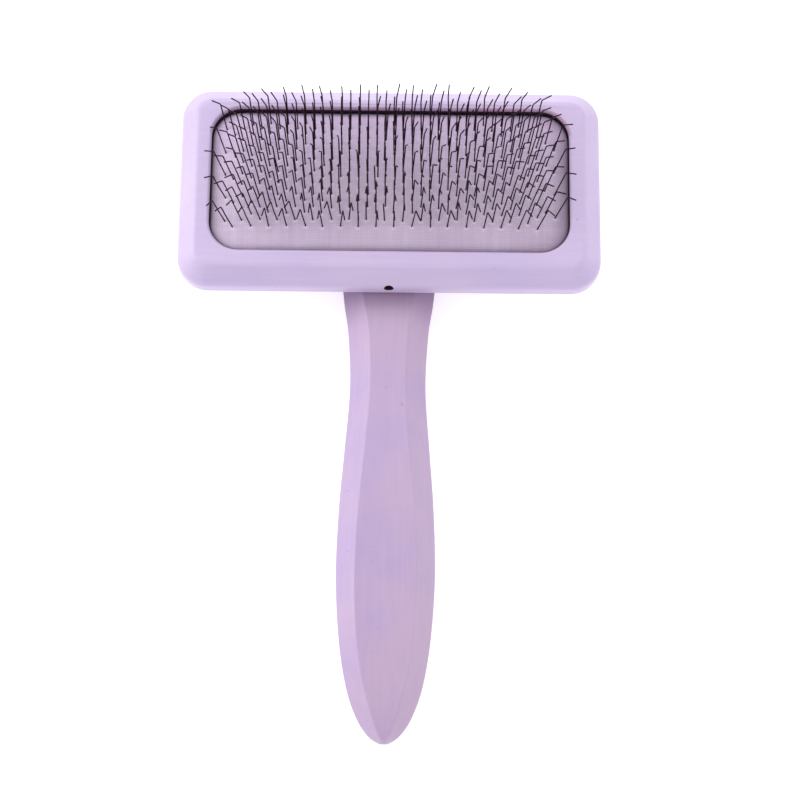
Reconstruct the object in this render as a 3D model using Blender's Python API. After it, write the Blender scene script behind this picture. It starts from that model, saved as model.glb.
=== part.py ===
"""Slicker brush: a painted wooden head and handle, with a crowned wire cushion over an air chamber.

Metres, +Z up. The brush lies on its back with the wires up, its handle pointing to -Y.
"""

import math

import bmesh
import bpy
from mathutils import Matrix, Vector

# Head block: plan, thickness and bevels
HEAD_LOW_Y = 0.0333
HEAD_TOP_Y = 0.0925
HEAD_WIDTH = 0.1196
HEAD_THICKNESS = 0.024
HEAD_CORNER = 0.0086
FRONT_BEVEL = 0.0048
BACK_BEVEL_INSET = 0.0090
BACK_BEVEL_HEIGHT = 0.0145

# Outline levels of the head: height, inset of its outline and corner radius
HEAD_LEVELS = (
    (0.0, BACK_BEVEL_INSET, 0.0054),
    (0.0017, 0.0072, 0.0060),
    (0.0128, 0.0007, 0.0083),
    (BACK_BEVEL_HEIGHT, 0.0, HEAD_CORNER),
    (HEAD_THICKNESS - FRONT_BEVEL, 0.0, HEAD_CORNER),
    (HEAD_THICKNESS - 0.0006, 0.0041, 0.0050),
    (HEAD_THICKNESS, 0.0054, 0.0040),
)

# Pocket in the head, its ledge and the air chamber under it
OPENING_WIDTH = 0.1015
OPENING_HEIGHT = 0.0424
OPENING_CORNER = 0.0085
OPENING_CENTRE_Y = 0.0639
OPENING_LIP = 0.0008
LEDGE_WIDTH = 0.0020
LEDGE_Z = 0.0200
CHAMBER_FLOOR_Z = 0.0125

# Air vent: a slanted hole from the lower edge of the head into the chamber
VENT_DIAMETER = 0.0028
VENT_START = Vector((0.0, 0.0300, 0.0192))
VENT_END = Vector((0.0, 0.0465, 0.0149))

# Cushion: a flange on the ledge, and the crowned pad that travels inside it
GAP = 0.0003
FLANGE_THICKNESS = 0.0012
PAD_CLEARANCE = 0.0004
PAD_BASE_Z = 0.0220
PAD_CROWN = 0.0051
CROWN_HALF_LENGTH = 0.0488
CROWN_HALF_WIDTH = 0.0203
CLOTH_THICKNESS = 0.0012
RUBBER_THICKNESS = 0.0012
OUTLINE_MARGIN = 0.001
CUT_MARGIN = 0.001
OUTLINE_REACH = 0.010
PAD_CELLS_X = 10
PAD_CELLS_Y = 8

# Wires: staggered rows, each wire with one knee
ROWS = 19
ROW_PITCH = 0.00172
FIRST_ROW_Y = 0.0496
COLUMNS = 38
COLUMN_PITCH = 0.00251
END_COLUMNS = 2
WIRE_RADIUS = 0.00019
BASE_LEG = 0.0082
TIP_LEG = 0.0052
# Lean in degrees across the pad: the middle, its slope, its curvature
BASE_LEAN = (37.4, 21.0, -6.7)
TIP_LEAN = (-19.5, 35.0, 1.0)
# How much that variation fades at the ends, towards the handle and away from it
BASE_FADE = (0.6, 0.6)
TIP_FADE = (0.5, 0.9)
BASE_SPREAD = math.radians(22.0)
BASE_SPREAD_POWER = 2.5
TIP_SPREAD = math.radians(25.7)
TIP_SPREAD_POWER = 1.7
# Share of the spread that is lost in the rows furthest from the handle, and of the tips' nearest it
FAR_SPREAD_LOSS = 0.45
NEAR_SPREAD_LOSS = 0.40
FIELD_MARGIN = 0.0011
SLOT_WIDTH = 0.0010
SLOT_MARGIN = 0.0009
SLOT_REACH = 0.004
STRIP_WIDTH = 0.00050
STRIP_HEIGHT = 0.00070
ROOT_DEPTH = 0.00024

# Dowel between the handle and the head
DOWEL_DIAMETER = 0.008
DOWEL_START_Y = 0.014
DOWEL_END_Y = 0.060
DOWEL_Z = 0.0065

# Handle stations: y, half width, half width of the flat facets, middle height, half thickness
HANDLE_STATIONS = (
    (0.0470, 0.0142, 0.0084, 0.0065, 0.0065),
    (0.0330, 0.0128, 0.0073, 0.0065, 0.0065),
    (0.0230, 0.0114, 0.0056, 0.0065, 0.0065),
    (0.0070, 0.0107, 0.0050, 0.0067, 0.0067),
    (-0.0114, 0.0119, 0.0062, 0.0074, 0.0074),
    (-0.0280, 0.0131, 0.0077, 0.0081, 0.0081),
    (-0.0470, 0.0136, 0.0085, 0.0085, 0.0085),
    (-0.0640, 0.0126, 0.0078, 0.0085, 0.0082),
    (-0.0770, 0.0105, 0.0057, 0.0085, 0.0070),
    (-0.0856, 0.0075, 0.0032, 0.0085, 0.0054),
    (-0.0905, 0.0042, 0.0013, 0.0085, 0.0034),
    (-0.0925, 0.0012, 0.0004, 0.0085, 0.0012),
)
HANDLE_CHAMFER = 0.92
HANDLE_CHAMFER_LIMIT = 0.8
HANDLE_RINGS_PER_SPAN = 3

HEAD_CENTRE_Y = (HEAD_LOW_Y + HEAD_TOP_Y) / 2.0
HEAD_LENGTH = HEAD_TOP_Y - HEAD_LOW_Y
CHAMBER_WIDTH = OPENING_WIDTH - 2.0 * LEDGE_WIDTH
CHAMBER_HEIGHT = OPENING_HEIGHT - 2.0 * LEDGE_WIDTH
CHAMBER_CORNER = OPENING_CORNER - LEDGE_WIDTH
PAD_WIDTH = CHAMBER_WIDTH - 2.0 * PAD_CLEARANCE
PAD_HEIGHT = CHAMBER_HEIGHT - 2.0 * PAD_CLEARANCE
PAD_CORNER = CHAMBER_CORNER - PAD_CLEARANCE


def clear_scene():
    for obj in list(bpy.data.objects):
        bpy.data.objects.remove(obj, do_unlink=True)


def make_collection(name):
    collection = bpy.data.collections.new(name)
    bpy.context.scene.collection.children.link(collection)
    return collection


def make_material(name, colour, roughness, metallic=0.0):
    material = bpy.data.materials.new(name)
    material.use_nodes = True
    shader = material.node_tree.nodes["Principled BSDF"]
    shader.inputs["Base Color"].default_value = (*colour, 1.0)
    shader.inputs["Roughness"].default_value = roughness
    shader.inputs["Metallic"].default_value = metallic
    material.diffuse_color = (*colour, 1.0)
    return material


def add_object(name, mesh, collection, material=None):
    obj = bpy.data.objects.new(name, mesh)
    collection.objects.link(obj)
    if material:
        mesh.materials.append(material)
    return obj


def finish_mesh(bm, name):
    bmesh.ops.recalc_face_normals(bm, faces=bm.faces)
    mesh = bpy.data.meshes.new(name)
    bm.to_mesh(mesh)
    bm.free()
    return mesh


def add_cutter(name, mesh, cutters):
    cutter = add_object(name, mesh, cutters)
    cutter.hide_render = True
    cutter.display_type = "WIRE"
    return cutter


def boolean(obj, other, operation="DIFFERENCE"):
    modifier = obj.modifiers.new(other.name, "BOOLEAN")
    modifier.operation = operation
    modifier.object = other
    modifier.solver = "EXACT"
    return modifier


def rounded_outline(width, height, radius, segments=5):
    """Points of a rounded rectangle about the origin, counter-clockwise."""
    points = []
    corners = ((1, 1, 0), (-1, 1, 90), (-1, -1, 180), (1, -1, 270))
    for sign_x, sign_y, start in corners:
        centre_x = sign_x * (width / 2.0 - radius)
        centre_y = sign_y * (height / 2.0 - radius)
        for step in range(segments + 1):
            angle = math.radians(start + 90.0 * step / segments)
            points.append((centre_x + radius * math.cos(angle), centre_y + radius * math.sin(angle)))
    return points


def loft(rings, name):
    """A closed solid through rings that have the same number of points."""
    bm = bmesh.new()
    loops = [[bm.verts.new(point) for point in ring] for ring in rings]
    for low, high in zip(loops, loops[1:]):
        for i in range(len(low)):
            j = (i + 1) % len(low)
            bm.faces.new((low[i], low[j], high[j], high[i]))
    bm.faces.new(list(reversed(loops[0])))
    bm.faces.new(loops[-1])
    return finish_mesh(bm, name)


def outline_ring(width, height, radius, centre_y, z, segments=5):
    return [Vector((x, y + centre_y, z)) for x, y in rounded_outline(width, height, radius, segments)]


def prism(name, width, height, radius, centre_y, low, high, segments=5):
    rings = [outline_ring(width, height, radius, centre_y, z, segments) for z in (low, high)]
    return loft(rings, name)


def cylinder_between(name, start, end, radius, segments=24):
    bm = bmesh.new()
    axis = end - start
    bmesh.ops.create_cone(
        bm, cap_ends=True, segments=segments, radius1=radius, radius2=radius, depth=axis.length
    )
    turn = axis.to_track_quat("Z", "Y").to_matrix().to_4x4()
    bmesh.ops.transform(bm, matrix=Matrix.Translation((start + end) / 2.0) @ turn, verts=bm.verts)
    return finish_mesh(bm, name)


def shade_round(obj, angle=30.0):
    obj.data.shade_smooth()
    obj.data.set_sharp_from_angle(angle=math.radians(angle))


def head_rings(grow=0.0):
    """Outline rings of the head from the back face to the front face, grown outwards by a gap."""
    rings = []
    for index, (z, inset, radius) in enumerate(HEAD_LEVELS):
        if index == 0:
            z -= grow
        if index == len(HEAD_LEVELS) - 1:
            z += grow
        width = HEAD_WIDTH - 2.0 * (inset - grow)
        height = HEAD_LENGTH - 2.0 * (inset - grow)
        rings.append(outline_ring(width, height, radius + grow, HEAD_CENTRE_Y, z))
    return rings


def opening_ring(z, grow):
    """The outline of the opening at one height, grown outwards for the lip."""
    width = OPENING_WIDTH + 2.0 * grow
    height = OPENING_HEIGHT + 2.0 * grow
    return outline_ring(width, height, OPENING_CORNER + grow, OPENING_CENTRE_Y, z)


def build_head(parts, cutters, paint):
    head = add_object("head_block", loft(head_rings(), "head_block"), parts, paint)
    lip_low = HEAD_THICKNESS - OPENING_LIP
    lip_high = HEAD_THICKNESS + OPENING_LIP
    lip_levels = ((LEDGE_Z, 0.0), (lip_low, 0.0), (lip_high, 2.0 * OPENING_LIP))
    pocket = loft([opening_ring(z, grow) for z, grow in lip_levels], "pocket_cut")
    chamber = prism(
        "chamber_cut", CHAMBER_WIDTH, CHAMBER_HEIGHT, CHAMBER_CORNER,
        OPENING_CENTRE_Y, CHAMBER_FLOOR_Z, LEDGE_Z + CUT_MARGIN,
    )
    vent = cylinder_between("vent_cut", VENT_START, VENT_END, VENT_DIAMETER / 2.0)
    socket = dowel_bore("head_socket_cut", HEAD_LOW_Y, DOWEL_END_Y + GAP)
    for mesh in (pocket, chamber, vent, socket):
        boolean(head, add_cutter(mesh.name, mesh, cutters))
    shade_round(head)


def dowel_bore(name, start_y, end_y):
    start = Vector((0.0, start_y, DOWEL_Z))
    end = Vector((0.0, end_y, DOWEL_Z))
    return cylinder_between(name, start, end, DOWEL_DIAMETER / 2.0 + GAP)


def smooth_value(values, position):
    """Catmull-Rom value through a list at a fractional index."""
    last = len(values) - 1
    i = min(int(position), last - 1)
    t = position - i
    before = values[max(i - 1, 0)]
    after = values[min(i + 2, last)]
    a, b = values[i], values[i + 1]
    slope_a = (b - before) / 2.0
    slope_b = (after - a) / 2.0
    cubic = 2.0 * t**3 - 3.0 * t**2
    return (cubic + 1.0) * a + (t**3 - 2.0 * t**2 + t) * slope_a - cubic * b + (t**3 - t**2) * slope_b


def handle_ring(y, half_width, facet, middle, half_thickness):
    """An eight-sided section of the handle, counter-clockwise."""
    chamfer = min(HANDLE_CHAMFER * (half_width - facet), half_thickness * HANDLE_CHAMFER_LIMIT)
    side = half_thickness - chamfer
    corners = (
        (facet, half_thickness), (half_width, side), (half_width, -side), (facet, -half_thickness),
        (-facet, -half_thickness), (-half_width, -side), (-half_width, side), (-facet, half_thickness),
    )
    return [Vector((x, y, middle + z)) for x, z in corners]


def build_handle(parts, cutters, paint):
    columns = list(zip(*HANDLE_STATIONS))
    spans = len(HANDLE_STATIONS) - 1
    rings = []
    for step in range(spans * HANDLE_RINGS_PER_SPAN + 1):
        position = step / HANDLE_RINGS_PER_SPAN
        rings.append(handle_ring(*(smooth_value(column, position) for column in columns)))
    handle = add_object("handle", loft(rings, "handle"), parts, paint)
    head_shape = add_cutter("head_shape_cut", loft(head_rings(GAP), "head_shape_cut"), cutters)
    boolean(handle, head_shape)
    bore = dowel_bore("handle_socket_cut", DOWEL_START_Y - GAP, HEAD_CENTRE_Y)
    boolean(handle, add_cutter("handle_socket_cut", bore, cutters))
    shade_round(handle, 20.0)


def build_dowel(parts, beech):
    start = Vector((0.0, DOWEL_START_Y, DOWEL_Z))
    end = Vector((0.0, DOWEL_END_Y, DOWEL_Z))
    mesh = cylinder_between("handle_dowel", start, end, DOWEL_DIAMETER / 2.0, 32)
    dowel = add_object("handle_dowel", mesh, parts, beech)
    shade_round(dowel)


def build_flange(parts, cutters, rubber):
    low = LEDGE_Z + GAP
    outer = prism(
        "pad_flange", OPENING_WIDTH - 2.0 * GAP, OPENING_HEIGHT - 2.0 * GAP, OPENING_CORNER - GAP,
        OPENING_CENTRE_Y, low, low + FLANGE_THICKNESS,
    )
    flange = add_object("pad_flange", outer, parts, rubber)
    inner = prism(
        "flange_cut", CHAMBER_WIDTH, CHAMBER_HEIGHT, CHAMBER_CORNER,
        OPENING_CENTRE_Y, low - CUT_MARGIN, low + FLANGE_THICKNESS + CUT_MARGIN,
    )
    boolean(flange, add_cutter("flange_cut", inner, cutters))


def crown_stations():
    """X of the pad's creases, closer together near its two ends."""
    half = PAD_WIDTH / 2.0 + OUTLINE_MARGIN
    return [half * math.sin(math.pi * (step / PAD_CELLS_X - 0.5)) for step in range(PAD_CELLS_X + 1)]


def crown_height(x, y):
    """Height of the crowned pad over its base level, with y measured from the pad's middle.

    It runs straight between the creases, so the cloth and the wire strips fit each other.
    """
    stations = crown_stations()
    index = max(i for i in range(PAD_CELLS_X) if i == 0 or stations[i] <= x)
    low, high = stations[index], stations[index + 1]
    share = (x - low) / (high - low)
    fall_x = (1.0 - share) * end_fall(low) + share * end_fall(high)
    return PAD_CROWN * fall_x * max(0.0, 1.0 - (y / CROWN_HALF_WIDTH) ** 2)


def end_fall(x):
    return max(0.0, 1.0 - (x / CROWN_HALF_LENGTH) ** 4)


def crowned_sheet(name, top_z, thickness):
    """A crowned slab over the pad's box; its outline is cut afterwards."""
    bm = bmesh.new()
    bmesh.ops.create_grid(bm, x_segments=PAD_CELLS_X, y_segments=PAD_CELLS_Y, size=0.5)
    stations = crown_stations()
    for vert in bm.verts:
        x = stations[round((vert.co.x + 0.5) * PAD_CELLS_X)]
        y = vert.co.y * (PAD_HEIGHT + 2.0 * OUTLINE_MARGIN)
        vert.co = (x, y + OPENING_CENTRE_Y, top_z + crown_height(x, y))
    top_faces = list(bm.faces)
    lower = bmesh.ops.duplicate(bm, geom=list(bm.verts) + list(bm.edges) + top_faces)["geom"]
    lower_verts = [item for item in lower if isinstance(item, bmesh.types.BMVert)]
    bmesh.ops.translate(bm, vec=(0.0, 0.0, -thickness), verts=lower_verts)
    rims = [edge for edge in bm.edges if edge.is_boundary]
    bmesh.ops.bridge_loops(bm, edges=rims)
    bmesh.ops.triangulate(bm, faces=bm.faces)
    return finish_mesh(bm, name)


def build_pad_layer(name, top_z, thickness, parts, cutters, material, slots=None):
    layer = add_object(name, crowned_sheet(name, top_z, thickness), parts, material)
    outline = prism(
        name + "_outline", PAD_WIDTH, PAD_HEIGHT, PAD_CORNER, OPENING_CENTRE_Y,
        top_z - OUTLINE_REACH, top_z + PAD_CROWN + OUTLINE_REACH,
    )
    boolean(layer, add_cutter(name + "_outline", outline, cutters), "INTERSECT")
    if slots:
        boolean(layer, slots)
    return layer


def row_y(row):
    return FIRST_ROW_Y + ROW_PITCH * row


def row_feet(row):
    """X of each wire in a staggered row; the end columns have half as many wires.

    Wires are left out where the pad's corners are round.
    """
    feet = []
    y = row_y(row) - OPENING_CENTRE_Y
    for column in range((row + 1) % 2, COLUMNS, 2):
        at_end = min(column, COLUMNS - 1 - column) < END_COLUMNS
        left_out = 3 if column < END_COLUMNS else 1
        if at_end and (row + column) % 4 == left_out:
            continue
        x = COLUMN_PITCH * (column - (COLUMNS - 1) / 2.0)
        corner_x = abs(x) - (PAD_WIDTH / 2.0 - PAD_CORNER)
        corner_y = abs(y) - (PAD_HEIGHT / 2.0 - PAD_CORNER)
        reach = math.hypot(max(corner_x, 0.0), max(corner_y, 0.0))
        if reach < PAD_CORNER - FIELD_MARGIN:
            feet.append(x)
    return feet


def wire_points(x, y):
    """Root, knee and tip of one wire: it leans away from the handle, then bends back.

    The wires stand more upright near the handle, and spread outwards at the two ends.
    """
    across = (y - OPENING_CENTRE_Y) / (ROW_PITCH * (ROWS - 1) / 2.0)
    along = x / (COLUMN_PITCH * (COLUMNS - 1) / 2.0)
    base_spread = math.copysign(BASE_SPREAD * abs(along) ** BASE_SPREAD_POWER, along)
    base_spread *= 1.0 - FAR_SPREAD_LOSS * max(across, 0.0)
    tip_spread = math.copysign(TIP_SPREAD * abs(along) ** TIP_SPREAD_POWER, along)
    tip_spread *= 1.0 - NEAR_SPREAD_LOSS * max(-across, 0.0) ** 2
    foot = Vector((x, y, PAD_BASE_Z + crown_height(x, y - OPENING_CENTRE_Y)))
    base = leaning(lean_angle(BASE_LEAN, BASE_FADE, across, along), base_spread)
    tip = leaning(lean_angle(TIP_LEAN, TIP_FADE, across, along), tip_spread)
    knee = foot + base * BASE_LEG
    return foot - base * ROOT_DEPTH, knee, knee + tip * TIP_LEG


def lean_angle(terms, fades, across, along):
    """The lean at a place in the field; it varies less across the pad near the two ends."""
    middle, slope, curvature = terms
    near, far = fades
    fade = 1.0 - (far if across > 0.0 else near) * abs(along) ** 3
    return math.radians(middle + (slope * across + curvature * across**2) * fade)


def leaning(lean, spread):
    """A unit vector that leans towards +Y and spreads towards +X."""
    upright = math.cos(spread)
    return Vector((math.sin(spread), upright * math.sin(lean), upright * math.cos(lean)))


def curve_to_mesh(curve_object, name):
    """The mesh of a curve with its caps welded; the curve itself is removed."""
    graph = bpy.context.evaluated_depsgraph_get()
    mesh = bpy.data.meshes.new_from_object(curve_object.evaluated_get(graph))
    bm = bmesh.new()
    bm.from_mesh(mesh)
    bmesh.ops.remove_doubles(bm, verts=bm.verts, dist=1e-7)
    bpy.data.objects.remove(curve_object, do_unlink=True)
    return finish_mesh(bm, name)


def row_wires(name, row, cutters):
    """All wires of one row as bevelled polylines, turned into one mesh."""
    curve = bpy.data.curves.new(name, "CURVE")
    curve.dimensions = "3D"
    curve.bevel_depth = WIRE_RADIUS
    curve.bevel_resolution = 0
    curve.use_fill_caps = True
    for x in row_feet(row):
        points = wire_points(x, row_y(row))
        spline = curve.splines.new("POLY")
        spline.points.add(len(points) - 1)
        for target, point in zip(spline.points, points):
            target.co = (*point, 1.0)
    guide = bpy.data.objects.new(name, curve)
    cutters.objects.link(guide)
    bpy.context.view_layer.update()
    return add_cutter(name, curve_to_mesh(guide, name), cutters)


def strip_mesh(name, row):
    """The strip in the cloth that stands for the staples' crowns of one row."""
    feet = row_feet(row)
    start, end = feet[0] - STRIP_WIDTH, feet[-1] + STRIP_WIDTH
    y = row_y(row)
    rings = []
    for x in [start] + [x for x in crown_stations() if start < x < end] + [end]:
        top = PAD_BASE_Z + crown_height(x, y - OPENING_CENTRE_Y)
        low_y, high_y = y - STRIP_WIDTH / 2.0, y + STRIP_WIDTH / 2.0
        low_z = top - STRIP_HEIGHT
        rings.append([
            Vector((x, low_y, low_z)), Vector((x, high_y, low_z)),
            Vector((x, high_y, top)), Vector((x, low_y, top)),
        ])
    return loft(rings, name)


def build_wire_row(row, parts, cutters, steel):
    name = f"wire_row_{row + 1:02d}"
    strip = add_object(name, strip_mesh(name, row), parts, steel)
    boolean(strip, row_wires(name + "_wires", row, cutters), "UNION")


def slot_cutter(cutters):
    """One box a row, through the cloth, that the row's wires stand in."""
    bm = bmesh.new()
    for row in range(ROWS):
        feet = row_feet(row)
        length = feet[-1] - feet[0] + 2.0 * SLOT_MARGIN
        centre = Vector(((feet[0] + feet[-1]) / 2.0, row_y(row), PAD_BASE_Z + PAD_CROWN / 2.0))
        size = Vector((length, SLOT_WIDTH, PAD_CROWN + 2.0 * SLOT_REACH, 1.0))
        matrix = Matrix.Translation(centre) @ Matrix.Diagonal(size)
        bmesh.ops.create_cube(bm, size=1.0, matrix=matrix)
    return add_cutter("slot_cut", finish_mesh(bm, "slot_cut"), cutters)


def build_brush():
    clear_scene()
    parts = make_collection("slicker_brush")
    cutters = make_collection("cutters")
    paint = make_material("lilac_paint", (0.62, 0.50, 0.78), 0.35)
    beech = make_material("bare_beech", (0.62, 0.42, 0.24), 0.6)
    rubber = make_material("black_rubber", (0.03, 0.03, 0.035), 0.7)
    cloth = make_material("pale_cloth", (0.62, 0.54, 0.66), 0.85)
    steel = make_material("dark_steel", (0.05, 0.03, 0.06), 0.35, 1.0)

    build_head(parts, cutters, paint)
    build_handle(parts, cutters, paint)
    build_dowel(parts, beech)
    build_flange(parts, cutters, rubber)
    slots = slot_cutter(cutters)
    build_pad_layer("pad_cloth", PAD_BASE_Z, CLOTH_THICKNESS, parts, cutters, cloth, slots)
    rubber_top = PAD_BASE_Z - CLOTH_THICKNESS - GAP
    build_pad_layer("pad_rubber", rubber_top, RUBBER_THICKNESS, parts, cutters, rubber)
    for row in range(ROWS):
        build_wire_row(row, parts, cutters, steel)


build_brush()
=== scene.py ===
import math
import random

import bmesh
import bpy
import numpy as np
from mathutils import Matrix, Vector, noise


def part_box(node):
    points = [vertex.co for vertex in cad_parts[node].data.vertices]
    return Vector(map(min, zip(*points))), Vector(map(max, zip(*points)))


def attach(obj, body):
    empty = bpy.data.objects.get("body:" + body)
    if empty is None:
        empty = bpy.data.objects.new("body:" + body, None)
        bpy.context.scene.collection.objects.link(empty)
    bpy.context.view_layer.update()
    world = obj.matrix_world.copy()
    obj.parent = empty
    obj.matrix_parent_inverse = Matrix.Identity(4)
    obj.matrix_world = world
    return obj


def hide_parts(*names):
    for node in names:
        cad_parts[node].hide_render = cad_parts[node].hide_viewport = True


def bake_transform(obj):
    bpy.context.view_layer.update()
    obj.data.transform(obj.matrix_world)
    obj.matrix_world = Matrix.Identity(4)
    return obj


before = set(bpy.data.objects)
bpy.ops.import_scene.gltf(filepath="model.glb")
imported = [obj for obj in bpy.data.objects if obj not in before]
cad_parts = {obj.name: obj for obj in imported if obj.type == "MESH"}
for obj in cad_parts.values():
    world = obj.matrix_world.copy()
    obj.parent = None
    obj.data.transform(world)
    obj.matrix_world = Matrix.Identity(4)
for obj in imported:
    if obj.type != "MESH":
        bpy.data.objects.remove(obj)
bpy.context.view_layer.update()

BODY = "brush_body"
CUSHION = "cushion"
GAP = 0.0003

# Head, read from the frame; its bevels as in the CAD model
HEAD_LOW, HEAD_HIGH = (Vector(corner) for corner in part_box("head_block"))
HEAD_SIZE = HEAD_HIGH - HEAD_LOW
HEAD_CENTRE_Y = (HEAD_LOW.y + HEAD_HIGH.y) / 2.0
HEAD_CORNER = 0.0086
FRONT_BEVEL = 0.0048
BACK_BEVEL_INSET = 0.0090
BACK_BEVEL_HEIGHT = 0.0145
CORNER_STEPS = 12
# Radii of the head's edges, from the back to the front, and how far its flats reach
BACK_EDGE_RADIUS = 0.0015
LOW_WAIST_RADIUS = 0.0030
HIGH_WAIST_RADIUS = 0.0028
FRONT_EDGE_RADIUS = 0.0026
BACK_FLAT_REACH = 0.030
FRONT_FLAT_REACH = 0.0030

# Pocket: its outline is the flange's with the gap round it
FLANGE_LOW, FLANGE_HIGH = (Vector(corner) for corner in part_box("pad_flange"))
OPENING_SIZE = FLANGE_HIGH - FLANGE_LOW + Vector((2.0 * GAP, 2.0 * GAP, 0.0))
OPENING_CENTRE_Y = (FLANGE_LOW.y + FLANGE_HIGH.y) / 2.0
OPENING_CORNER = 0.0085
OPENING_LIP = 0.0008
LEDGE_Z = FLANGE_LOW.z - GAP
LEDGE_WIDTH = 0.0020
CHAMBER_FLOOR_Z = 0.0125
LIP_REACH = 0.0008
LEDGE_RADIUS = 0.0002
FLOOR_RADIUS = 0.0004
FLOOR_REACH = 0.015
# Painted shade: the pocket is coloured near black below this height, within these margins
SHADE_TOP_Z = 0.0227
SHADE_MARGIN = 0.0001
SHADE_FLOOR_MARGIN = 0.0005
# From where on the far side the lip is tinted reddish pink
FAR_LIP_START_Y = 0.0140
FACE_MARGIN = 0.00001

VENT_RADIUS = 0.0014
VENT_START = Vector((0.0, 0.0300, 0.0192))
VENT_END = Vector((0.0, 0.0465, 0.0149))

# Handle stations: y, half width, half width of the flat facets, middle height, half thickness
HANDLE_STATIONS = (
    (0.0470, 0.0142, 0.0084, 0.0065, 0.0065),
    (0.0330, 0.0128, 0.0073, 0.0065, 0.0065),
    (0.0230, 0.0114, 0.0056, 0.0065, 0.0065),
    (0.0070, 0.0107, 0.0050, 0.0067, 0.0067),
    (-0.0114, 0.0119, 0.0062, 0.0074, 0.0074),
    (-0.0280, 0.0131, 0.0077, 0.0081, 0.0081),
    (-0.0470, 0.0136, 0.0085, 0.0085, 0.0085),
    (-0.0640, 0.0126, 0.0078, 0.0085, 0.0082),
    (-0.0770, 0.0105, 0.0057, 0.0085, 0.0070),
    (-0.0856, 0.0075, 0.0032, 0.0085, 0.0054),
    (-0.0905, 0.0042, 0.0013, 0.0085, 0.0034),
    (-0.0925, 0.0012, 0.0004, 0.0085, 0.0012),
)
HANDLE_CHAMFER = 0.92
HANDLE_RINGS_PER_SPAN = 8
HANDLE_EDGE_RADIUS = 0.0008
HANDLE_EDGE_STEPS = 3
HANDLE_SEAM_GAP = 0.00005
# Span along Y where the head's shadow on the handle is painted in as a darkening
SEAM_SHADE_Y = (0.0235, 0.0345)

# Pad: crown and cloth
PAD_BASE_Z = 0.0220
PAD_CROWN = 0.0051
CROWN_HALF_LENGTH = 0.0488
CROWN_HALF_WIDTH = 0.0203
PAD_OUTLINE_GAP = 0.0002
PAD_SHIFT_Y = -0.0002
CLOTH_GRID = 0.00036
CLOTH_THICKNESS = 0.0006
CLOTH_TUCK = 0.0011
CLOTH_TUCK_DROP = 0.0005
PUCKER_HEIGHT = 0.00016
PUCKER_RADIUS = 0.00055
DIMPLE_DEPTH = 0.00022
DIMPLE_RADIUS = 0.00028
PUCKER_RING_WIDTH = 0.0003
PUCKER_REACH = 0.002
RIPPLE_HEIGHT = 0.00012
RIPPLE_SCALE = 260.0
THREAD_PITCH = 0.00096
# Painted shade along the cloth's edge next to the walls: its width, and how it widens from a place on
# X over a length
EDGE_SHADE_WIDTH = 0.0009
EDGE_SHADE_WIDENING = 0.0022
EDGE_SHADE_START_X = 0.030
EDGE_SHADE_LENGTH = 0.018

# Wires
ROWS = 19
ROW_PITCH = 0.00172
FIRST_ROW_Y = 0.0496
COLUMNS = 38
COLUMN_PITCH = 0.00251
END_COLUMNS = 2
FIELD_PAD_SIZE = (0.0967, 0.0376)
FIELD_PAD_CORNER = 0.0061
FIELD_MARGIN = 0.0011
WIRE_RADIUS = 0.00019
WIRE_SIDES = 8
BASE_LEG = 0.0082
TIP_LEG = 0.0052
# Lean in degrees across the pad: the middle, its slope, its curvature
BASE_LEAN = (37.4, 21.0, -6.7)
TIP_LEAN = (-19.5, 35.0, 1.0)
BASE_FADE = (0.6, 0.6)
TIP_FADE = (0.5, 0.9)
BASE_SPREAD = 22.0
BASE_SPREAD_POWER = 2.5
TIP_SPREAD = 25.7
TIP_SPREAD_POWER = 1.7
FAR_SPREAD_LOSS = 0.45
NEAR_SPREAD_LOSS = 0.40
# Twist of the wires about their feet, as degrees of spread of the base leg; tips turn further
TWIST_LEANING = 4.0
TWIST_STRAIGHT = -1.2
TWIST_FIRST_ROWS = 4.0
TWIST_OF_TIPS = 1.1
TIP_BIAS = 2.0
ROOT_DEPTH = 0.0009
KNEE_RADIUS = 0.0006
KNEE_STEPS = 4
# Standard deviations of what varies from wire to wire, and the range of the tips' lengths
FOOT_SCATTER = 0.00012
BOW_SCATTER = 0.00006
BASE_LEAN_SCATTER = 1.2
TIP_LEAN_SCATTER = 2.5
TIP_SPREAD_SCATTER = 2.0
TWIST_SCATTER = 0.7
TIP_LENGTHS = (0.88, 1.06)

# Camera: it looks at the pad's level from the handle's side, tilted from straight above
VIEW_TARGET = Vector((0.0035, 0.0007, 0.0193))
VIEW_DISTANCE = 0.5525
VIEW_TILT = math.radians(15.0)
VIEW_ROLL = math.radians(0.6)
LENS_MM = 90.0
SENSOR_MM = 36.0
CLIP_START = 0.01

# Stage
FLOOR_HALF_SIZE = 3.0
FLOOR_DROP = 0.0002
LIGHT_AIM = Vector((0.0, 0.03, 0.0))


def new_object(name, mesh, material, body=BODY):
    obj = bpy.data.objects.new(name, mesh)
    bpy.context.scene.collection.objects.link(obj)
    mesh.materials.clear()
    mesh.materials.append(material)
    if body:
        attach(obj, body)
    return obj


def finish_mesh(bm, name):
    bmesh.ops.recalc_face_normals(bm, faces=bm.faces)
    mesh = bpy.data.meshes.new(name)
    bm.to_mesh(mesh)
    bm.free()
    return mesh


def shade_round(mesh, angle):
    mesh.shade_smooth()
    mesh.set_sharp_from_angle(angle=math.radians(angle))


def add_weighted_normals(obj):
    modifier = obj.modifiers.new("flat_faces_stay_flat", "WEIGHTED_NORMAL")
    modifier.keep_sharp = True


# ---------------------------------------------------------------- shapes


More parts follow.
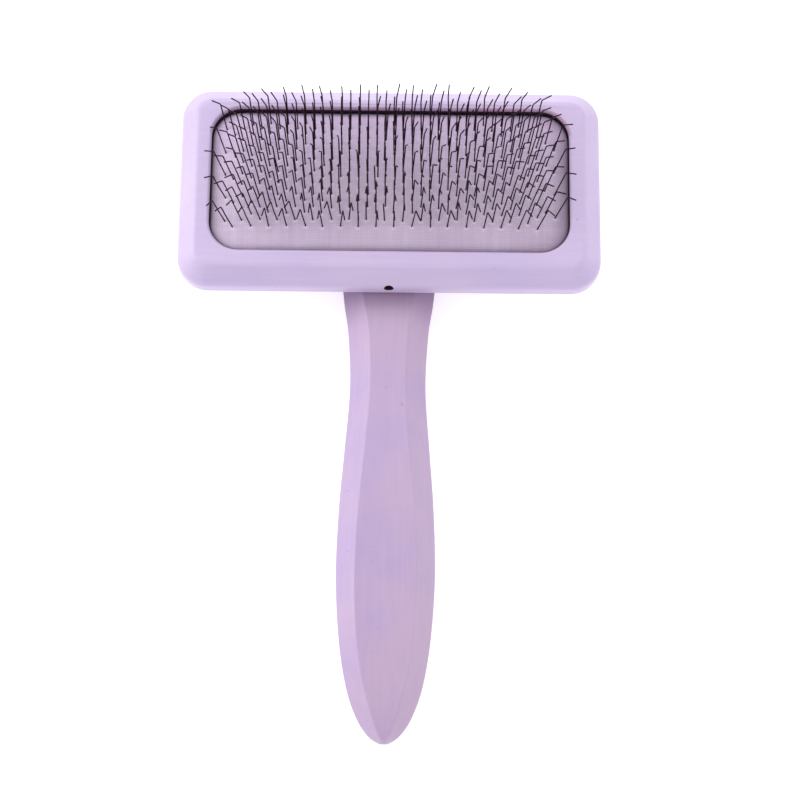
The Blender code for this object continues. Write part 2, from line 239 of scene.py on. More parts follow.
def rounded_outline(width, height, radius, centre_y, z):
    """Points of a rounded rectangle, counter-clockwise."""
    points = []
    for sign_x, sign_y, start in ((1, 1, 0), (-1, 1, 90), (-1, -1, 180), (1, -1, 270)):
        centre_x = sign_x * (width / 2.0 - radius)
        middle_y = centre_y + sign_y * (height / 2.0 - radius)
        for step in range(CORNER_STEPS + 1):
            angle = math.radians(start + 90.0 * step / CORNER_STEPS)
            points.append(Vector((
                centre_x + radius * math.cos(angle), middle_y + radius * math.sin(angle), z
            )))
    return points


def rounded_path(corners, steps=5):
    """A path through (a, b, radius) corners, each corner turned into an arc."""
    path = [Vector(corners[0][:2])]
    for before, corner, after in zip(corners, corners[1:], corners[2:]):
        point = Vector(corner[:2])
        into = (Vector(before[:2]) - point).normalized()
        out = (Vector(after[:2]) - point).normalized()
        half = into.angle(out) / 2.0
        reach = corner[2] / math.tan(half)
        centre = point + (into + out).normalized() * corner[2] / math.sin(half)
        start = (point + into * reach - centre).normalized()
        end = (point + out * reach - centre).normalized()
        for step in range(steps + 1):
            path.append(centre + start.slerp(end, step / steps) * corner[2])
    path.append(Vector(corners[-1][:2]))
    return path


def loft(rings, name, cap_start=True, cap_end=True):
    bm = bmesh.new()
    loops = [[bm.verts.new(point) for point in ring] for ring in rings]
    for low, high in zip(loops, loops[1:]):
        for i in range(len(low)):
            j = (i + 1) % len(low)
            bm.faces.new((low[i], low[j], high[j], high[i]))
    if cap_start:
        bm.faces.new(list(reversed(loops[0])))
    if cap_end:
        bm.faces.new(loops[-1])
    return finish_mesh(bm, name)


def head_ring(inset, z):
    """Outline of the head at one level; its corners tighten as the bevels rise."""
    tightening = 0.875 if z > BACK_BEVEL_HEIGHT else 0.355
    width = HEAD_SIZE.x - 2.0 * inset
    height = HEAD_SIZE.y - 2.0 * inset
    return rounded_outline(width, height, HEAD_CORNER - tightening * inset, HEAD_CENTRE_Y, z)


def opening_ring(grow, z):
    width = OPENING_SIZE.x + 2.0 * grow
    height = OPENING_SIZE.y + 2.0 * grow
    return rounded_outline(width, height, OPENING_CORNER + grow, OPENING_CENTRE_Y, z)


def cylinder_mesh(name, start, end, radius, segments=32):
    bm = bmesh.new()
    axis = end - start
    bmesh.ops.create_cone(
        bm, cap_ends=True, segments=segments, radius1=radius, radius2=radius, depth=axis.length
    )
    turn = axis.to_track_quat("Z", "Y").to_matrix().to_4x4()
    bmesh.ops.transform(bm, matrix=Matrix.Translation((start + end) / 2.0) @ turn, verts=bm.verts)
    return finish_mesh(bm, name)


def cut(obj, cutter_mesh):
    """Cuts one mesh from another and keeps the result as a plain mesh."""
    cutter = bpy.data.objects.new(cutter_mesh.name, cutter_mesh)
    bpy.context.scene.collection.objects.link(cutter)
    modifier = obj.modifiers.new("cut", "BOOLEAN")
    modifier.object = cutter
    modifier.solver = "EXACT"
    graph = bpy.context.evaluated_depsgraph_get()
    mesh = bpy.data.meshes.new_from_object(obj.evaluated_get(graph))
    obj.modifiers.remove(modifier)
    obj.data = mesh
    bpy.data.objects.remove(cutter, do_unlink=True)


def paint_pocket_shade(mesh, pocket_shade):
    """The pocket's walls, its floor and the vent get a near-black painted shade; the rest is painted.
    """
    mesh.materials.append(pocket_shade)
    axis = (VENT_END - VENT_START).normalized()
    for face in mesh.polygons:
        centre = face.center
        in_width = abs(centre.x) < OPENING_SIZE.x / 2.0 + SHADE_MARGIN
        in_height = abs(centre.y - OPENING_CENTRE_Y) < OPENING_SIZE.y / 2.0 + SHADE_MARGIN
        in_depth = CHAMBER_FLOOR_Z - SHADE_FLOOR_MARGIN < centre.z < SHADE_TOP_Z
        in_pocket = in_width and in_height and in_depth
        from_axis = ((centre - VENT_START) - axis * (centre - VENT_START).dot(axis)).length
        in_vent = VENT_RADIUS * 0.9 < from_axis < VENT_RADIUS * 1.02 and centre.y < OPENING_CENTRE_Y
        if in_pocket or in_vent:
            face.material_index = 1


def tint_far_lip(mesh, far_lip_tint):
    """The lip's far side is tinted a reddish pink."""
    mesh.materials.append(far_lip_tint)
    for face in mesh.polygons:
        centre = face.center
        beyond = abs(centre.y - OPENING_CENTRE_Y) - OPENING_SIZE.y / 2.0
        outside = abs(centre.x) - OPENING_SIZE.x / 2.0
        in_depth = SHADE_TOP_Z <= centre.z < HEAD_SIZE.z - FACE_MARGIN
        on_lip = in_depth and max(beyond, outside) < OPENING_LIP
        if on_lip and centre.y > OPENING_CENTRE_Y + FAR_LIP_START_Y:
            face.material_index = 2


def build_head(paint, pocket_shade, far_lip_tint):
    top = HEAD_SIZE.z
    outer = rounded_path((
        (BACK_FLAT_REACH, 0.0, 0.0),
        (BACK_BEVEL_INSET, 0.0, BACK_EDGE_RADIUS),
        (0.0, BACK_BEVEL_HEIGHT, LOW_WAIST_RADIUS),
        (0.0, top - FRONT_BEVEL, HIGH_WAIST_RADIUS),
        (FRONT_BEVEL, top, FRONT_EDGE_RADIUS),
        (FRONT_BEVEL + FRONT_FLAT_REACH, top, 0.0),
    ))
    inner = rounded_path((
        (OPENING_LIP + LIP_REACH, top, 0.0),
        (0.0, top, OPENING_LIP),
        (0.0, LEDGE_Z, LEDGE_RADIUS),
        (-LEDGE_WIDTH, LEDGE_Z, LEDGE_RADIUS),
        (-LEDGE_WIDTH, CHAMBER_FLOOR_Z, FLOOR_RADIUS),
        (-FLOOR_REACH, CHAMBER_FLOOR_Z, 0.0),
    ))
    rings = [head_ring(inset, z) for inset, z in outer[1:-1]]
    rings += [opening_ring(grow, z) for grow, z in inner[:-1]]
    head = new_object("painted_head", loft(rings, "painted_head"), paint)
    cut(head, cylinder_mesh("vent_cut", VENT_START, VENT_END, VENT_RADIUS))
    paint_pocket_shade(head.data, pocket_shade)
    tint_far_lip(head.data, far_lip_tint)
    shade_round(head.data, 42.0)
    add_weighted_normals(head)
    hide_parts("head_block")
    return head


def smooth_value(values, position):
    """Catmull-Rom value through a list at a fractional index."""
    last = len(values) - 1
    i = min(int(position), last - 1)
    t = position - i
    before = values[max(i - 1, 0)]
    after = values[min(i + 2, last)]
    a, b = values[i], values[i + 1]
    slope_a = (b - before) / 2.0
    slope_b = (after - a) / 2.0
    cubic = 2.0 * t**3 - 3.0 * t**2
    return (cubic + 1.0) * a + (t**3 - 2.0 * t**2 + t) * slope_a - cubic * b + (t**3 - t**2) * slope_b


def handle_section(half_width, facet, half_thickness):
    """An eight-sided section with softly rounded edges, as (x, z) points."""
    chamfer = min(HANDLE_CHAMFER * (half_width - facet), half_thickness * 0.8)
    side = half_thickness - chamfer
    corners = (
        (facet, half_thickness), (half_width, side), (half_width, -side), (facet, -half_thickness),
        (-facet, -half_thickness), (-half_width, -side), (-half_width, side), (-facet, half_thickness),
    )
    count = len(corners)
    radius = min(HANDLE_EDGE_RADIUS, side * 0.9, facet * 0.9)
    points = []
    for i in range(count):
        triple = (corners[i - 1], corners[i], corners[(i + 1) % count])
        marked = [(*triple[0], 0.0), (*triple[1], radius), (*triple[2], 0.0)]
        points += rounded_path(marked, HANDLE_EDGE_STEPS)[1:-1]
    return points


def handle_end_y(z):
    """Where the handle meets the head's back bevel, at a height."""
    rise = min(max(z / BACK_BEVEL_HEIGHT, 0.0), 1.0)
    return HEAD_LOW.y + BACK_BEVEL_INSET * (1.0 - rise) - HANDLE_SEAM_GAP


def build_handle(paint):
    columns = list(zip(*HANDLE_STATIONS))
    spans = len(HANDLE_STATIONS) - 1
    rings = []
    for step in range(spans * HANDLE_RINGS_PER_SPAN + 1):
        position = step / HANDLE_RINGS_PER_SPAN
        y, half_width, facet, middle, half = (smooth_value(column, position) for column in columns)
        ring = []
        for x, z in handle_section(half_width, facet, half):
            height = max(middle + z, 0.0)
            ring.append(Vector((x, min(y, handle_end_y(height)), height)))
        rings.append(ring)
    first = next(i for i, ring in enumerate(rings) if ring[0].y < HEAD_LOW.y + BACK_BEVEL_INSET)
    mesh = loft(rings[max(first - 1, 0):], "painted_handle")
    shade_round(mesh, 60.0)
    handle = new_object("painted_handle", mesh, paint)
    add_weighted_normals(handle)
    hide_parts("handle")
    return handle


# ---------------------------------------------------------------- wire field


def crown_z(x, y):
    """Height of the pad's surface, with y in the row frame."""
    fall_x = max(0.0, 1.0 - (x / CROWN_HALF_LENGTH) ** 4)
    fall_y = max(0.0, 1.0 - ((y - OPENING_CENTRE_Y) / CROWN_HALF_WIDTH) ** 2)
    return PAD_BASE_Z + PAD_CROWN * fall_x * fall_y


def row_y(row):
    return FIRST_ROW_Y + ROW_PITCH * row


def row_feet(row):
    """Column and X of each wire in a staggered row; the end columns have half as many wires."""
    feet = []
    width, height = FIELD_PAD_SIZE
    corner_y = abs(row_y(row) - OPENING_CENTRE_Y) - (height / 2.0 - FIELD_PAD_CORNER)
    for column in range((row + 1) % 2, COLUMNS, 2):
        at_end = min(column, COLUMNS - 1 - column) < END_COLUMNS
        left_out = 3 if column < END_COLUMNS else 1
        if at_end and (row + column) % 4 == left_out:
            continue
        x = COLUMN_PITCH * (column - (COLUMNS - 1) / 2.0)
        corner_x = abs(x) - (width / 2.0 - FIELD_PAD_CORNER)
        reach = math.hypot(max(corner_x, 0.0), max(corner_y, 0.0))
        if reach < FIELD_PAD_CORNER - FIELD_MARGIN:
            feet.append((column, x))
    return feet


def leaning(lean, spread):
    """A unit vector that leans towards +Y and spreads towards +X."""
    upright = math.cos(spread)
    return Vector((math.sin(spread), upright * math.sin(lean), upright * math.cos(lean)))


def lean_angle(terms, fades, across, along):
    """Lean in degrees at a place in the field; it varies less across the pad near the two ends."""
    middle, slope, curvature = terms
    near, far = fades
    fade = 1.0 - (far if across > 0.0 else near) * abs(along) ** 3
    return middle + (slope * across + curvature * across**2) * fade


def wire_twist(row, column, along, chance):
    """Small turn of one wire: a diagonal pattern right of the middle, uneven in the first rows."""
    if row < 2:
        return chance.gauss(0.0, TWIST_FIRST_ROWS) * (1.0 - along**2)
    share = min(max((along + 0.25) / 0.4, 0.0), 1.0) * (1.0 - along**2)
    pattern = TWIST_LEANING if (row + column) % 4 == 1 else TWIST_STRAIGHT
    return share * pattern + chance.gauss(0.0, TWIST_SCATTER)


def wire_path(row, column, x, chance):
    """Points along one wire: root under the cloth, a slightly bowed base leg, the knee and the tip."""
    y = row_y(row)
    across = (y - OPENING_CENTRE_Y) / (ROW_PITCH * (ROWS - 1) / 2.0)
    along = x / (COLUMN_PITCH * (COLUMNS - 1) / 2.0)
    twist = wire_twist(row, column, along, chance)
    base_spread = math.copysign(BASE_SPREAD * abs(along) ** BASE_SPREAD_POWER, along)
    base_spread = base_spread * (1.0 - FAR_SPREAD_LOSS * max(across, 0.0)) + twist
    tip_spread = math.copysign(TIP_SPREAD * abs(along) ** TIP_SPREAD_POWER, along)
    tip_spread *= 1.0 - NEAR_SPREAD_LOSS * max(-across, 0.0) ** 2
    tip_spread += TWIST_OF_TIPS * twist + TIP_BIAS
    base_lean = lean_angle(BASE_LEAN, BASE_FADE, across, along) + chance.gauss(0.0, BASE_LEAN_SCATTER)
    tip_lean = lean_angle(TIP_LEAN, TIP_FADE, across, along) + chance.gauss(0.0, TIP_LEAN_SCATTER)
    base = leaning(math.radians(base_lean), math.radians(base_spread))
    tip_spread += chance.gauss(0.0, TIP_SPREAD_SCATTER)
    tip = leaning(math.radians(tip_lean), math.radians(tip_spread))
    foot = Vector((x + chance.gauss(0.0, FOOT_SCATTER), y + chance.gauss(0.0, FOOT_SCATTER), 0.0))
    foot.z = crown_z(foot.x, foot.y)
    knee = foot + base * BASE_LEG
    end = knee + tip * TIP_LEG * chance.uniform(*TIP_LENGTHS)
    bow = base.orthogonal().normalized() * chance.gauss(0.0, BOW_SCATTER)
    marked = [foot.lerp(knee, 0.5) + bow, knee, end]
    into = (marked[0] - knee).normalized()
    out = (end - knee).normalized()
    points = [foot - base * ROOT_DEPTH, foot, marked[0]]
    for step in range(KNEE_STEPS + 1):
        share = step / KNEE_STEPS
        start_arm = into * KNEE_RADIUS * (1.0 - share) ** 2
        end_arm = out * KNEE_RADIUS * share**2
        points.append(knee + start_arm + end_arm)
    points.append(end)
    return points


def sweep_tube(bm, points, radius):
    """Adds a closed tube along the points, its tip slightly rounded."""
    last = points[-1]
    along = (last - points[-2]).normalized()
    points = points[:-1] + [last - along * radius * 0.6, last]
    sizes = [radius] * (len(points) - 1) + [radius * 0.62]
    across = (points[1] - points[0]).orthogonal().normalized()
    rings = []
    for i, point in enumerate(points):
        ahead = points[min(i + 1, len(points) - 1)] - points[max(i - 1, 0)]
        ahead.normalize()
        across = (across - ahead * across.dot(ahead)).normalized()
        other = ahead.cross(across)
        ring = []
        for side in range(WIRE_SIDES):
            angle = 2.0 * math.pi * side / WIRE_SIDES
            offset = across * math.cos(angle) + other * math.sin(angle)
            ring.append(bm.verts.new(point + offset * sizes[i]))
        rings.append(ring)
    for low, high in zip(rings, rings[1:]):
        for i in range(WIRE_SIDES):
            j = (i + 1) % WIRE_SIDES
            bm.faces.new((low[i], low[j], high[j], high[i]))
    bm.faces.new(list(reversed(rings[0])))
    bm.faces.new(rings[-1])


def build_wires(steel):
    """One piece for each row of wires; returns every foot for the cloth's puckers."""
    chance = random.Random(11)
    feet = []
    for row in range(ROWS):
        bm = bmesh.new()
        for column, x in row_feet(row):
            points = wire_path(row, column, x, chance)
            feet.append(points[1].xy)
            sweep_tube(bm, points, WIRE_RADIUS)
        mesh = finish_mesh(bm, f"bristles_row_{row + 1:02d}")
        shade_round(mesh, 50.0)
        wires = new_object(mesh.name, mesh, steel, CUSHION)
        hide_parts(f"wire_row_{row + 1:02d}")
    return feet


# ---------------------------------------------------------------- cloth pad


def outline_distance(x, y, half_x, half_y, radius):
    """Distance inwards from a rounded rectangle's edge."""
    reach_x = np.abs(x) - (half_x - radius)
    reach_y = np.abs(y) - (half_y - radius)
    outside = np.hypot(np.maximum(reach_x, 0.0), np.maximum(reach_y, 0.0))
    inside = np.minimum(np.maximum(reach_x, reach_y), 0.0)
    return radius - outside - inside


def pucker_heights(x, y, feet):
    """Cloth drawn down at each wire and pushed up in a low ring round it, with a painted highlight
    share on the ring's near side.
    """
    lift = np.zeros_like(x)
    root_highlight = np.zeros_like(x)
    for foot in feet:
        near = (np.abs(x - foot[0]) < PUCKER_REACH) & (np.abs(y - foot[1]) < PUCKER_REACH)
        distance = np.hypot(x[near] - foot[0], y[near] - foot[1])
        ring = np.exp(-(((distance - PUCKER_RADIUS) / PUCKER_RING_WIDTH) ** 2))
        dimple = DIMPLE_DEPTH * np.exp(-((distance / DIMPLE_RADIUS) ** 2))
        lift[near] += PUCKER_HEIGHT * ring - dimple
        facing = np.clip((foot[1] - y[near]) / PUCKER_RADIUS, 0.0, 1.0)
        root_highlight[near] = np.maximum(root_highlight[near], ring * facing)
    return lift, root_highlight


def edge_shade_falloff(x, edge):
    """Painted shade along the cloth's edge next to the walls, wider at the +X end."""
    width = EDGE_SHADE_WIDTH + EDGE_SHADE_WIDENING * np.clip((x - EDGE_SHADE_START_X) / EDGE_SHADE_LENGTH, 0.0, 1.0)
    return np.exp(-np.maximum(edge, 0.0) / width)


def cloth_grid(feet):
    """Points of the crowned cloth on a grid that fills its outline, with their painted highlight and
    painted edge shade.
    """
    half_x = OPENING_SIZE.x / 2.0 - PAD_OUTLINE_GAP
    half_y = OPENING_SIZE.y / 2.0 - PAD_OUTLINE_GAP
    radius = OPENING_CORNER - PAD_OUTLINE_GAP
    columns = round(2.0 * half_x / CLOTH_GRID)
    rows = round(2.0 * half_y / CLOTH_GRID)
    v = np.linspace(-1.0, 1.0, rows + 1) * half_y
    bulge = np.maximum(np.abs(v) - (half_y - radius), 0.0)
    reach = half_x - radius + np.sqrt(np.maximum(radius**2 - bulge**2, 0.0))
    x = np.linspace(-1.0, 1.0, columns + 1)[None, :] * reach[:, None]
    y = np.repeat(v[:, None], columns + 1, axis=1)
    fall_x = np.maximum(0.0, 1.0 - (x / CROWN_HALF_LENGTH) ** 4)
    fall_y = np.maximum(0.0, 1.0 - (y / CROWN_HALF_WIDTH) ** 2)
    edge = outline_distance(x, y, half_x, half_y, radius)
    tuck = np.clip(1.0 - edge / CLOTH_TUCK, 0.0, 1.0)
    z = PAD_BASE_Z + PAD_CROWN * fall_x * fall_y - CLOTH_TUCK_DROP * tuck**2
    y = y + OPENING_CENTRE_Y + PAD_SHIFT_Y
    lift, root_highlight = pucker_heights(x, y, feet)
    z += lift
    edge_shade = edge_shade_falloff(x, edge)
    flat = np.stack((x, y, z), axis=-1).reshape(-1, 3)
    for i, (px, py, pz) in enumerate(flat):
        flat[i, 2] = pz + RIPPLE_HEIGHT * noise.noise(Vector((px, py, 0.0)) * RIPPLE_SCALE)
    return flat, root_highlight, edge_shade


def thicken_cloth(cover):
    """Gives the cloth its thickness, downwards, as a plain mesh."""
    thickness = cover.modifiers.new("cloth_thickness", "SOLIDIFY")
    thickness.thickness = CLOTH_THICKNESS
    thickness.offset = -1.0
    graph = bpy.context.evaluated_depsgraph_get()
    solid = bpy.data.meshes.new_from_object(cover.evaluated_get(graph))
    cover.modifiers.clear()
    cover.data = solid


def build_cloth(cloth, feet):
    flat, root_highlight, edge_shade = cloth_grid(feet)
    index = np.arange(flat.shape[0]).reshape(root_highlight.shape)
    quads = np.stack((index[:-1, :-1], index[:-1, 1:], index[1:, 1:], index[1:, :-1]), axis=-1)
    mesh = bpy.data.meshes.new("pad_cover")
    mesh.from_pydata(flat.tolist(), [], quads.reshape(-1, 4).tolist())
    mesh.shade_smooth()
    for name, values in (("root_highlight", root_highlight), ("edge_shade", edge_shade)):
        mesh.attributes.new(name, "FLOAT", "POINT").data.foreach_set("value", values.ravel())
    cover = new_object("pad_cover", mesh, cloth, None)
    thicken_cloth(cover)
    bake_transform(cover)
    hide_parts("pad_cloth")


# ---------------------------------------------------------------- materials


class Graph:
    """A small helper that adds nodes to a material and links them."""

    def __init__(self, name, roughness, **sockets):
        self.material = bpy.data.materials.new(name)
        self.material.use_nodes = True
        self.nodes = self.material.node_tree.nodes
        self.links = self.material.node_tree.links
        self.shader = self.nodes["Principled BSDF"]
        self.shader.inputs["Roughness"].default_value = roughness
        for socket, value in sockets.items():
            self.shader.inputs[socket.replace("_", " ")].default_value = value
        self.coordinates = self.nodes.new("ShaderNodeTexCoord").outputs["Object"]

    def stretched(self, scale):
        mapping = self.nodes.new("ShaderNodeMapping")
        mapping.inputs["Scale"].default_value = scale
        self.links.new(self.coordinates, mapping.inputs["Vector"])
        return mapping.outputs["Vector"]

    def noise(self, scale, detail=3.0, roughness=0.5, vector=None):
        node = self.nodes.new("ShaderNodeTexNoise")
        node.inputs["Scale"].default_value = scale
        node.inputs["Detail"].default_value = detail
        node.inputs["Roughness"].default_value = roughness
        self.links.new(vector or self.coordinates, node.inputs["Vector"])
        return node.outputs["Fac"]

    def attribute(self, name):
        node = self.nodes.new("ShaderNodeAttribute")
        node.attribute_name = name
        return node.outputs["Fac"]

    def axis_share(self, axis, start, end):
        """0 to 1 along one axis of the object."""
        split = self.nodes.new("ShaderNodeSeparateXYZ")
        self.links.new(self.coordinates, split.inputs["Vector"])
        spread = self.nodes.new("ShaderNodeMapRange")
        spread.interpolation_type = "SMOOTHSTEP"
        spread.inputs["From Min"].default_value = start
        spread.inputs["From Max"].default_value = end
        self.links.new(split.outputs[axis], spread.inputs["Value"])
        return spread.outputs["Result"]

    def ramp(self, value, stops):
        node = self.nodes.new("ShaderNodeValToRGB")
        ramp = node.color_ramp
        while len(ramp.elements) < len(stops):
            ramp.elements.new(0.5)
        for element, (position, colour) in zip(ramp.elements, stops):
            element.position = position
            element.color = (*colour, 1.0) if len(colour) == 3 else (colour[0],) * 3 + (1.0,)
        self.links.new(value, node.inputs["Fac"])
        return node.outputs["Color"]

    def math(self, operation, a, b=None):
        node = self.nodes.new("ShaderNodeMath")
        node.operation = operation
        for socket, value in zip(node.inputs, (a, b)):
            if value is None:
                continue
            if isinstance(value, (int, float)):
                socket.default_value = value
            else:
                self.links.new(value, socket)
        return node.outputs["Value"]

    def mix(self, share, a, b, blend="MIX"):
        node = self.nodes.new("ShaderNodeMix")
        node.data_type = "RGBA"
        node.blend_type = blend
        sockets = (node.inputs[0], node.inputs[6], node.inputs[7])
        for socket, value in zip(sockets, (share, a, b)):
            if isinstance(value, (int, float)):
                socket.default_value = value
            elif isinstance(value, tuple):
                socket.default_value = (*value, 1.0)
            else:
                self.links.new(value, socket)
        return node.outputs[2]

    def bump(self, height, distance, strength=1.0, after=None):
        node = self.nodes.new("ShaderNodeBump")
        node.inputs["Strength"].default_value = strength
        node.inputs["Distance"].default_value = distance
        self.links.new(height, node.inputs["Height"])
        if after:
            self.links.new(after, node.inputs["Normal"])
        return node.outputs["Normal"]

    def set(self, **values):
        for socket, value in values.items():
            self.links.new(value, self.shader.inputs[socket.replace("_", " ")])
        return self.material


def painted_wood(name, grain_axis, cool, warm, seam_shade=None):
    """Satin lilac paint over wood: faint grain, brush-out, specks and cloudy colour, and where a seam
    span is given, a painted shade that darkens it along Y.
    """
    graph = Graph(name, 0.38, Coat_Weight=0.2, Coat_Roughness=0.3)
    clouds = graph.noise(45.0, 3.0)
    colour = graph.ramp(clouds, ((0.35, cool), (0.65, warm)))
    grain_scale = (0.05, 1.0, 1.0) if grain_axis == "X" else (1.0, 0.05, 1.0)
    grain = graph.noise(900.0, 4.0, 0.6, graph.stretched(grain_scale))
    fine = graph.ramp(grain, ((0.35, (0.93,)), (0.65, (1.0,))))
    colour = graph.mix(0.6, colour, fine, "MULTIPLY")
    specks = graph.noise(620.0, 1.0)
    dots = graph.ramp(specks, ((0.765, (0.0,)), (0.80, (1.0,))))
    colour = graph.mix(graph.math("MULTIPLY", dots, 0.35), colour, (0.26, 0.18, 0.34))
    # Painted shade: the handle is darkened towards the head, where the head's shadow falls on it
    if seam_shade:
        painted_seam_shade = graph.math("MULTIPLY", graph.axis_share("Y", *seam_shade), 0.42)
        colour = graph.mix(painted_seam_shade, colour, (0.12, 0.06, 0.14))
    rough = graph.ramp(graph.noise(120.0, 3.0), ((0.3, (0.33,)), (0.7, (0.45,))))
    skin = graph.noise(1400.0, 2.0)
    normal = graph.bump(grain, 0.00004, 0.5)
    normal = graph.bump(skin, 0.00003, 0.4, normal)
    normal = graph.bump(graph.noise(70.0, 2.0), 0.0004, 0.25, normal)
    return graph.set(Base_Color=colour, Roughness=rough, Normal=normal)


def thread_waves(graph):
    """Sines across the warp and the weft, on slightly wandering coordinates."""
    split = graph.nodes.new("ShaderNodeSeparateXYZ")
    wobble = graph.nodes.new("ShaderNodeTexNoise")
    wobble.inputs["Scale"].default_value = 180.0
    graph.links.new(graph.coordinates, wobble.inputs["Vector"])
    shift = graph.nodes.new("ShaderNodeVectorMath")
    shift.operation = "MULTIPLY_ADD"
    shift.inputs[1].default_value = (0.0006, 0.0006, 0.0)
    graph.links.new(wobble.outputs["Color"], shift.inputs[0])
    graph.links.new(graph.coordinates, shift.inputs[2])
    graph.links.new(shift.outputs["Vector"], split.inputs["Vector"])
    thread = 2.0 * math.pi / THREAD_PITCH
    warp = graph.math("SINE", graph.math("MULTIPLY", split.outputs["X"], thread))
    weft = graph.math("SINE", graph.math("MULTIPLY", split.outputs["Y"], thread))
    return warp, weft


def woven_cloth():
    """Plain weave of pale cotton, with thread-to-thread colour and a soft sheen."""
    graph = Graph("woven_cotton", 0.9, Sheen_Weight=0.15, Sheen_Roughness=0.5)
    warp, weft = thread_waves(graph)
    over = graph.math("MULTIPLY", warp, weft)
    height = graph.math("ADD", graph.math("MULTIPLY", over, 0.5), 0.5)
    hollow = graph.math("MULTIPLY", graph.math("ABSOLUTE", warp), graph.math("ABSOLUTE", weft))
    weave = graph.ramp(hollow, ((0.0, (0.74,)), (0.6, (1.05,))))
    tone = graph.ramp(graph.noise(60.0, 3.0), ((0.3, (0.60, 0.47, 0.66)), (0.7, (0.67, 0.545, 0.72))))
    threads_x = graph.noise(700.0, 1.0, 0.5, graph.stretched((1.0, 0.02, 0.02)))
    threads_y = graph.noise(700.0, 1.0, 0.5, graph.stretched((0.02, 1.0, 0.02)))
    mean_thread = graph.math("MULTIPLY", graph.math("ADD", threads_x, threads_y), 0.5)
    uneven = graph.ramp(mean_thread, ((0.35, (0.90,)), (0.65, (1.04,))))
    # Painted light: the cloth is lightened towards its far side, where more light reaches it
    lit_far_side = graph.axis_share("Y", 0.056, 0.082)
    tone = graph.mix(graph.math("MULTIPLY", lit_far_side, 0.8), tone, (0.74, 0.57, 0.84))
    colour = graph.mix(0.7, tone, weave, "MULTIPLY")
    colour = graph.mix(0.8, colour, uneven, "MULTIPLY")
    # Painted shade: the cloth darkens towards the walls at its edge
    edge_shade = graph.math("MULTIPLY", graph.attribute("edge_shade"), 0.72)
    colour = graph.mix(edge_shade, colour, (0.10, 0.05, 0.10))
    # Painted highlight: the ring round each wire's root is lightened on its near side
    root_highlight = graph.math("MULTIPLY", graph.attribute("root_highlight"), 0.42)
    colour = graph.mix(root_highlight, colour, (0.92, 0.88, 0.93))
    fuzz = graph.noise(3500.0, 2.0)
    normal = graph.bump(height, 0.00010, 0.7)
    normal = graph.bump(fuzz, 0.00004, 0.5, normal)
    return graph.set(Base_Color=colour, Normal=normal)


def dark_steel():
    graph = Graph("dark_wire", 0.4, Metallic=1.0)
    clouds = graph.noise(900.0, 2.0)
    colour = graph.ramp(clouds, ((0.3, (0.018, 0.008, 0.018)), (0.7, (0.055, 0.026, 0.045))))
    rough = graph.ramp(graph.noise(1500.0, 2.0), ((0.3, (0.30,)), (0.7, (0.5,))))
    drawn = graph.noise(2600.0, 2.0)
    return graph.set(Base_Color=colour, Roughness=rough, Normal=graph.bump(drawn, 0.00001, 0.4))


def black_rubber():
    graph = Graph("black_rubber", 0.75)
    clouds = graph.noise(300.0, 3.0)
    colour = graph.ramp(clouds, ((0.3, (0.012, 0.010, 0.014)), (0.7, (0.030, 0.024, 0.034))))
    normal = graph.bump(graph.noise(1200.0, 3.0), 0.00005, 0.5)
    return graph.set(Base_Color=colour, Normal=normal)


# Painted shade: near black for the pocket's walls, its floor and the vent, where shade falls
def painted_pocket_shade():
    graph = Graph("painted_pocket_shade", 0.7)
    clouds = graph.noise(400.0, 3.0)
    colour = graph.ramp(clouds, ((0.3, (0.020, 0.010, 0.018)), (0.7, (0.050, 0.026, 0.040))))
    return graph.set(Base_Color=colour, Normal=graph.bump(graph.noise(1500.0, 3.0), 0.00004, 0.5))


def bare_beech():
    graph = Graph("turned_beech", 0.6)
    fibres = graph.noise(900.0, 4.0, 0.6, graph.stretched((1.0, 0.04, 1.0)))
    colour = graph.ramp(fibres, ((0.3, (0.44, 0.25, 0.12)), (0.7, (0.66, 0.45, 0.26))))
    return graph.set(Base_Color=colour, Normal=graph.bump(fibres, 0.00008, 0.6))


def give_material(node, material):
    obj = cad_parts[node]
    obj.data.materials.clear()
    obj.data.materials.append(material)


# ---------------------------------------------------------------- stage


def build_floor():
    bm = bmesh.new()
    bmesh.ops.create_grid(bm, x_segments=1, y_segments=1, size=FLOOR_HALF_SIZE)
    floor = bpy.data.objects.new("floor", finish_mesh(bm, "floor"))
    bpy.context.scene.collection.objects.link(floor)
    floor.location.z = -FLOOR_DROP
    graph = Graph("white_floor", 0.8)
    graph.shader.inputs["Emission Color"].default_value = (1.0, 1.0, 1.0, 1.0)
    graph.shader.inputs["Emission Strength"].default_value = 0.5
    tone = graph.ramp(graph.noise(3.0), ((0.0, (0.86, 0.86, 0.86)), (1.0, (0.88, 0.88, 0.88))))
    floor.data.materials.append(graph.set(Base_Color=tone))


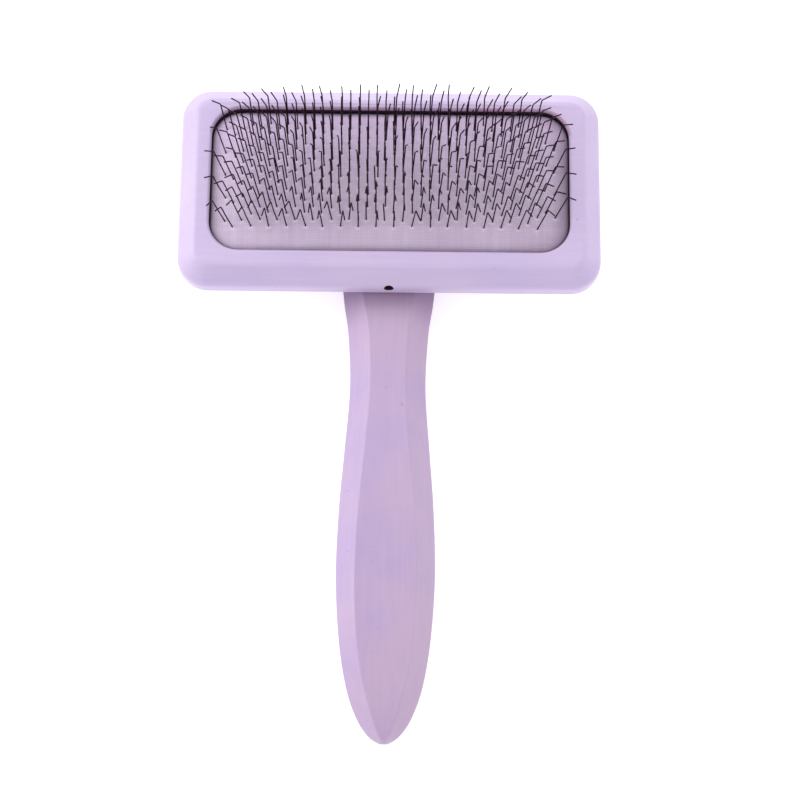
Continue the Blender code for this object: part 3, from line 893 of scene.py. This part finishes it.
def add_light(name, location, size, power):
    light = bpy.data.lights.new(name, "AREA")
    light.shape = "SQUARE"
    light.size = size
    light.energy = power
    obj = bpy.data.objects.new(name, light)
    bpy.context.scene.collection.objects.link(obj)
    obj.location = location
    aim = LIGHT_AIM - Vector(location)
    obj.rotation_euler = aim.to_track_quat("-Z", "Y").to_euler()


def build_lights():
    add_light("key", (-1.0, 0.25, 0.60), 0.9, 6.5)
    add_light("fill", (1.0, 0.05, 0.50), 0.9, 1.8)
    add_light("top", (-0.1, 0.95, 0.95), 0.8, 4.0)
    world = bpy.data.worlds.new("studio")
    world.use_nodes = True
    background = world.node_tree.nodes["Background"]
    background.inputs["Color"].default_value = (1.0, 1.0, 1.0, 1.0)
    background.inputs["Strength"].default_value = 0.78
    bpy.context.scene.world = world
    bpy.context.scene.view_settings.view_transform = "Standard"


def build_camera():
    camera = bpy.data.cameras.new("camera")
    camera.lens = LENS_MM
    camera.sensor_width = SENSOR_MM
    camera.clip_start = CLIP_START
    obj = bpy.data.objects.new("camera", camera)
    bpy.context.scene.collection.objects.link(obj)
    back = Vector((0.0, -math.sin(VIEW_TILT), math.cos(VIEW_TILT)))
    obj.location = VIEW_TARGET + back * VIEW_DISTANCE
    turn = Matrix.Rotation(VIEW_TILT, 3, "X") @ Matrix.Rotation(VIEW_ROLL, 3, "Z")
    obj.rotation_euler = turn.to_euler()
    bpy.context.scene.camera = obj


def build_scene():
    build_camera()
    build_lights()
    build_floor()
    head_paint = painted_wood("lilac_paint_head", "X", (0.570, 0.460, 0.725), (0.600, 0.485, 0.715))
    handle_paint = painted_wood(
        "lilac_paint_handle", "Y", (0.455, 0.338, 0.570), (0.505, 0.366, 0.545), SEAM_SHADE_Y
    )
    far_lip_paint = painted_wood("far_lip_tint_paint", "X", (0.505, 0.375, 0.610), (0.520, 0.310, 0.480))
    build_head(head_paint, painted_pocket_shade(), far_lip_paint)
    build_handle(handle_paint)
    feet = build_wires(dark_steel())
    build_cloth(woven_cloth(), feet)
    rubber = black_rubber()
    give_material("pad_flange", rubber)
    give_material("pad_rubber", rubber)
    give_material("handle_dowel", bare_beech())


build_scene()
